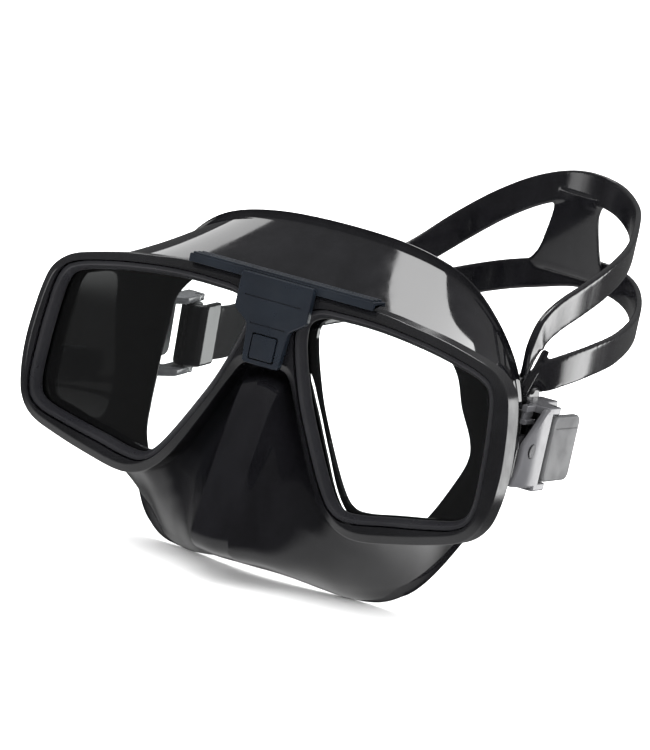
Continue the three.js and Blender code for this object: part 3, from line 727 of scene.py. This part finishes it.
def make_lever(half):
    """The release lever: a slightly domed tab on a round hub, with a cut for the spring."""
    outline = rounded([(TAB_FRONT, BUCKLE_Z - half), (TAB_BACK, BUCKLE_Z - half), (TAB_BACK, BUCKLE_Z + half),
                       (TAB_FRONT, BUCKLE_Z + half)], 3.2, 8, closed=True)
    lever = prism("lever", outline, TAB_IN, TAB_OUT, "x", 0.7, 5)
    hub = rod("hub", HUB_R, BUCKLE_Z - half, BUCKLE_Z + half, "z", (LEVER_X, LEVER_Y), 0.3)
    combine(lever, hub, "UNION")
    crease_z = BUCKLE_Z + half - 4.2
    crease_outline = [(TAB_FRONT + 2, crease_z), (TAB_BACK + 2, crease_z), (TAB_BACK + 2, crease_z + 0.4),
                      (TAB_FRONT + 2, crease_z + 0.4)]
    crease = prism("crease", crease_outline, TAB_OUT - 0.25, TAB_OUT + 1, "x")
    combine(lever, crease, "DIFFERENCE")
    slot = rounded_box((LEVER_X - 3.8, LEVER_X + HUB_R), (LEVER_Y - 2.15, LEVER_Y + 2.15),
                       (BUCKLE_Z - 3.4, BUCKLE_Z + 3.4), 0.3, 0.2)
    combine(lever, slot, "DIFFERENCE")
    combine(lever, rod("bore", LEVER_PIN_R + 0.05, -30, 30, "z", (LEVER_X, LEVER_Y), 0), "DIFFERENCE")
    return shade(lever)


def make_spring():
    """The lever's return spring: a wire wound round the pin."""
    turns, wire, coil, length = 6, 0.22, 1.5, 5.4
    steps, sides = turns * 24, 8
    rings = []
    for i in range(steps + 1):
        a = 2 * math.pi * i / 24
        centre = Vector((LEVER_X + coil * math.cos(a), LEVER_Y + coil * math.sin(a),
                         BUCKLE_Z - length / 2 + length * i / steps))
        out = Vector((math.cos(a), math.sin(a), 0))
        rings.append([centre + out * wire * math.cos(b) + Vector((0, 0, wire * math.sin(b)))
                      for b in (2 * math.pi * k / sides for k in range(sides))])
    return shade(loft("spring", rings), 60, weighted=False)


# Strap

def band(name, points, width, turned=0.01, per_span=14):
    """A flat band with rounded edges along points. At its start it lies square to X, so that it can rise
    beside the head. Past the share turned of its length its width stands upright."""
    curve = spline(points, per_span, closed=False)
    half, edge = width / 2, STRAP_THICK / 2
    section = rounded([(-half, -edge), (half, -edge), (half, edge), (-half, edge)], 0.7, 4, closed=True)
    rings = []
    for i, at in enumerate(curve):
        along = (curve[min(i + 1, len(curve) - 1)] - curve[max(i - 1, 0)]).normalized()
        upright = (Vector((0, 0, 1)) - along * along.z).normalized()
        square = Vector((1, 0, 0)).cross(along).normalized()
        fade = min(1.0, max(0.0, 2 - 2 * i / (len(curve) - 1) / turned))
        across = upright.lerp(square, fade).normalized()
        out = along.cross(across).normalized()
        rings.append([at + across * w + out * h for w, h in section])
    return loft(name, rings)


def roller_loop(sign):
    """The strap's turn round its roller, with both of its ends lying back along the buckle."""
    inner = ROLLER_R + GAP
    outer = inner + STRAP_THICK
    turn = [math.pi * k / 16 for k in range(17)]
    plan = [(ROLLER_X + outer, ROLLER_Y + 8), (ROLLER_X + inner, ROLLER_Y + 8)]
    plan += [(ROLLER_X + inner * math.cos(a), ROLLER_Y - inner * math.sin(a)) for a in turn]
    plan += [(ROLLER_X - inner, ROLLER_Y + 9), (ROLLER_X - outer, ROLLER_Y + 9)]
    plan += [(ROLLER_X + outer * math.cos(a), ROLLER_Y - outer * math.sin(a)) for a in reversed(turn)]
    half = BUCKLE_HALF - RAIL - GAP - 0.2
    loop = prism("loop", plan, BUCKLE_Z - half, BUCKLE_Z + half, "z", 0.4)
    if sign > 0:
        return loop
    other = mirror(loop)
    tip_up(other)
    bpy.data.objects.remove(loop)
    return other


def make_strap():
    parts = [
        band("upper", UPPER_BAND, BAND_WIDTH, 0.4),
        band("lower", LOWER_BAND, BAND_WIDTH, 0.4),
        band("far", FAR_STRAP, 18),
        band("root", STRAP_ROOT, 18, 9),
        roller_loop(1),
        roller_loop(-1),
    ]
    levels = []
    steps = 24
    for i in range(steps + 1):
        t = i / steps
        x0, y0, x1, y1, z = (a + (b - a) * t for a, b in zip(WEB_TOP, WEB_BOTTOM))
        flare = 5.0 * (2 * t - 1) ** 4
        bend = flare * (y0 - y1) / (x1 - x0)
        edge = STRAP_THICK / 2
        levels.append([(x0 - flare, y0 + bend - edge, z), (x1 + flare, y1 - bend - edge, z),
                       (x1 + flare, y1 - bend + edge, z), (x0 - flare, y0 + bend + edge, z)])
    strap = parts[0]
    for other in (*parts[1:], loft("web", levels)):
        combine(strap, other, "UNION")
    remesh = strap.modifiers.new("remesh", "REMESH")
    remesh.mode = "VOXEL"
    remesh.voxel_size = 0.45 * MM
    relax = strap.modifiers.new("relax", "SMOOTH")
    relax.iterations = 6
    relax.factor = 0.5
    bake(strap)
    install(shade(strap, 80, weighted=False), "strap", STRAP_SILICONE, "buckle_left")


make_frame()
make_lenses()
make_skirt()
make_bridge()
make_buckles()
make_strap()


# Floor and light

def make_floor():
    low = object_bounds()[0][2]
    mesh = bpy.data.meshes.new("floor")
    reach = 30.0
    corners = [(-reach, -reach, low), (reach, -reach, low), (reach, reach, low), (-reach, reach, low)]
    mesh.from_pydata(corners, [], [(0, 1, 2, 3)])
    floor = bpy.data.objects.new("floor", mesh)
    bpy.context.scene.collection.objects.link(floor)
    nodes = Nodes("floor_paper")
    paper = nodes.blend(nodes.noise(3), (0.93, 0.93, 0.93), (0.95, 0.95, 0.95))
    nodes.link(paper, nodes.shader.inputs["Base Color"])
    nodes.shader.inputs["Roughness"].default_value = 0.9
    nodes.shader.inputs["Specular IOR Level"].default_value = 0.1
    mesh.materials.append(nodes.material)
    floor.visible_glossy = False


SKY_LIGHT = 2.9
TABLE_REFLECTION = 0.95
ROOM_REFLECTION = 0.12
CEILING_REFLECTION = 0.3


def area_light(name, at, aim, width, height, power):
    data = bpy.data.lights.new(name, "AREA")
    data.shape = "RECTANGLE"
    data.size = width
    data.size_y = height
    data.energy = power
    light = bpy.data.objects.new(name, data)
    at, aim = Vector(at), Vector(aim)
    light.location = at
    light.rotation_euler = (aim - at).to_track_quat("-Z", "Y").to_euler()
    bpy.context.scene.collection.objects.link(light)


def make_light():
    """White all round for the floor, but for reflections a dark room over a white table, with a softbox for
    each bright patch. The softboxes are crisp, as the silicone shows their outlines."""
    world = bpy.data.worlds.new("studio")
    bpy.context.scene.world = world
    world.use_nodes = True
    tree = world.node_tree
    sky = tree.nodes["Background"]
    path = tree.nodes.new("ShaderNodeLightPath")
    place = tree.nodes.new("ShaderNodeTexCoord")
    split = tree.nodes.new("ShaderNodeSeparateXYZ")
    tree.links.new(place.outputs["Generated"], split.inputs["Vector"])

    def ramp(source, start, end, low, high):
        node = tree.nodes.new("ShaderNodeMapRange")
        node.interpolation_type = "SMOOTHSTEP"
        for name, value in (("From Min", start), ("From Max", end), ("To Min", low), ("To Max", high)):
            node.inputs[name].default_value = value
        tree.links.new(source, node.inputs["Value"])
        return node.outputs["Result"]

    table = ramp(split.outputs["Z"], -0.75, -0.35, TABLE_REFLECTION, 0)
    room = ramp(split.outputs["Z"], 0.1, 0.9, ROOM_REFLECTION, CEILING_REFLECTION)
    total = tree.nodes.new("ShaderNodeMath")
    tree.links.new(table, total.inputs[0])
    tree.links.new(room, total.inputs[1])
    pick = tree.nodes.new("ShaderNodeMix")
    pick.inputs["A"].default_value = SKY_LIGHT
    tree.links.new(path.outputs["Is Glossy Ray"], pick.inputs["Factor"])
    tree.links.new(total.outputs["Value"], pick.inputs["B"])
    tree.links.new(pick.outputs["Result"], sky.inputs["Strength"])
    sky.inputs["Color"].default_value = (1, 1, 1, 1)
    area_light("overhead", (-0.22, 0.59, 1.2), (-0.22, 0.59, 0), 0.29, 0.82, 5.7)
    area_light("window_left", (-1.35, -0.6, 0.02), (0, 0, 0), 0.45, 0.5, 2.2)
    area_light("upper_left", (-1.05, 0.8, 1.15), (0, 0, 0), 0.5, 0.5, 3)
    area_light("back_right", (0.62, 1.5, -0.05), (0, 0, 0), 0.34, 0.62, 2.6)


make_floor()
make_light()
bpy.context.scene.view_settings.view_transform = "Standard"
